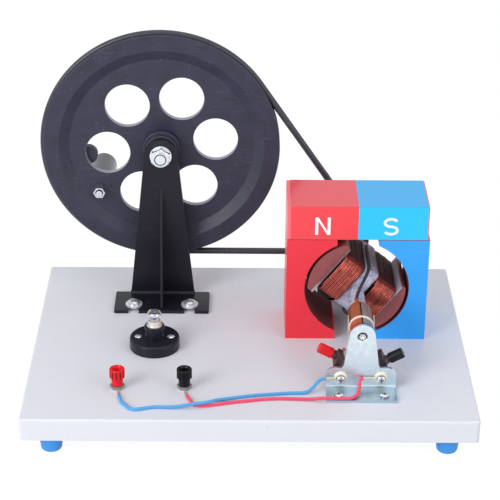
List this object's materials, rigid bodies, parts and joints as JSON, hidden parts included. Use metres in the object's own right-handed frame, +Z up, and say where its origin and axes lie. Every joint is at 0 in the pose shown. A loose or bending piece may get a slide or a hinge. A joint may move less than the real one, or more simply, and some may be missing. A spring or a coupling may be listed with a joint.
{
  "type": "hand crank generator model",
  "caption": "Hand-cranked demonstration generator: flywheel with round holes drives a wound armature by belt between red and blue magnet poles, with lamp and binding posts on a board.",
  "frame": {"origin": "on the floor under the middle of the whole object, at the level of the feet", "axes": "+X to the right seen from the front edge, +Y towards the crank handle, +Z up"},
  "size_m": [0.32, 0.256, 0.2445],
  "materials": {
    "board_laminate": "satin pale grey laminate",
    "foot_rubber": "matte blue",
    "steel": "plated",
    "bright_steel": "bright plated",
    "black_sheet": "satin black",
    "wheel_black": "satin black with light scuffs",
    "bronze": "plain bearing bronze",
    "belt_rubber": "matte black",
    "red_enamel": "gloss red",
    "blue_enamel": "gloss blue",
    "blue_film": "gloss blue film",
    "oxide_iron": "dark red primer",
    "grey_fibre": "grey insulating tape",
    "copper_wire": "enamelled copper",
    "dark_sleeve": "dark sleeving",
    "bakelite_brown": "dark brown moulding",
    "copper": "polished copper",
    "worn_copper": "worn copper",
    "white_nylon": "white",
    "zinc": "galvanised sheet",
    "cream_fibre": "cream",
    "brush_metal": "bright spring strip",
    "red_plastic": "gloss red",
    "black_plastic": "gloss black",
    "black_bakelite": "gloss black moulding",
    "clear_glass": "clear",
    "bead_glass": "blue bead and wires",
    "lead_blue": "gloss blue",
    "lead_red": "gloss red"
  },
  "bodies": {
    "base": {"base_board": "board_laminate", "rubber_feet": "foot_rubber", "foot_screws": "steel", "wheel_stand": "black_sheet", "stand_screws": "bright_steel", "stand_washers": "steel", "axle_bolt": "steel", "axle_nut": "steel", "axle_spacer": "black_sheet", "axle_washer": "steel", "drive_belt": "belt_rubber", "pole_north": "red_enamel", "pole_south": "blue_enamel", "magnet_bar": "red_enamel", "south_label": "blue_film", "magnet_screws": "steel", "rear_bracket": "black_sheet", "rear_bracket_screws": "bright_steel", "front_bracket": "zinc", "front_bracket_screws": "bright_steel", "terminal_screws": "bright_steel", "insulating_washers": "cream_fibre", "lead_lugs": "steel", "brush_plates": "bakelite_brown", "brush_strips": "brush_metal", "brush_studs": "steel", "lamp_holder": "black_bakelite", "lamp_shell": "steel", "lamp_screws": "bright_steel", "post_studs": "bright_steel", "blue_lead": "lead_blue", "red_lead": "lead_red"},
    "flywheel": {"flywheel": "wheel_black", "hub_bushes": "bronze", "crank_pin": "steel", "crank_nut": "bright_steel", "balance_weight": "wheel_black"},
    "crank_grip": {"crank_grip": "bright_steel"},
    "armature": {"armature_shaft": "steel", "armature_core": "oxide_iron", "core_wrap": "grey_fibre", "slot_liners": "grey_fibre", "coil_cores": "copper_wire", "coil_windings": "copper_wire", "armature_leads": "dark_sleeve", "commutator_sleeve": "bakelite_brown", "segment_a": "copper", "segment_b": "worn_copper", "commutator_ring": "white_nylon", "drive_pulley": "steel", "pulley_screw": "steel"},
    "thumb_cap_red": {"thumb_cap_red": "red_plastic"},
    "thumb_cap_black": {"thumb_cap_black": "black_plastic"},
    "post_cap_red": {"post_cap_red": "red_plastic"},
    "post_cap_black": {"post_cap_black": "black_plastic"},
    "bulb": {"bulb_glass": "clear_glass", "bulb_cap": "steel", "bulb_mount": "bead_glass"}
  },
  "joints": [
    {"name": "flywheel_spin", "type": "hinge", "parent": "base", "child": "flywheel", "pos_m": [-0.0675, 0.067, 0.152], "axis": [0, 1, 0], "continuous": true},
    {"name": "grip_spin", "type": "hinge", "parent": "flywheel", "child": "crank_grip", "pos_m": [-0.11596, 0.097, 0.11414], "axis": [0, 1, 0], "continuous": true},
    {"name": "armature_spin", "type": "hinge", "parent": "base", "child": "armature", "pos_m": [0.079, -0.013, 0.0745], "axis": [0, 1, 0], "continuous": true},
    {"name": "thumb_red_lift", "type": "slide", "parent": "base", "child": "thumb_cap_red", "axis": [-0.8829, 0, 0.4695], "range_m": [0, 0.004]},
    {"name": "thumb_black_lift", "type": "slide", "parent": "base", "child": "thumb_cap_black", "axis": [0.8829, 0, 0.4695], "range_m": [0, 0.004]},
    {"name": "post_red_lift", "type": "slide", "parent": "base", "child": "post_cap_red", "axis": [0, 0, 1], "range_m": [0, 0.004]},
    {"name": "post_black_lift", "type": "slide", "parent": "base", "child": "post_cap_black", "axis": [0, 0, 1], "range_m": [0, 0.004]},
    {"name": "bulb_lift", "type": "slide", "parent": "base", "child": "bulb", "axis": [0, 0, 1], "range_m": [0, 0.012]}
  ],
  "couplings": [
    {"joint": "armature_spin", "follows": "flywheel_spin", "ratio": 7.2}
  ]
}
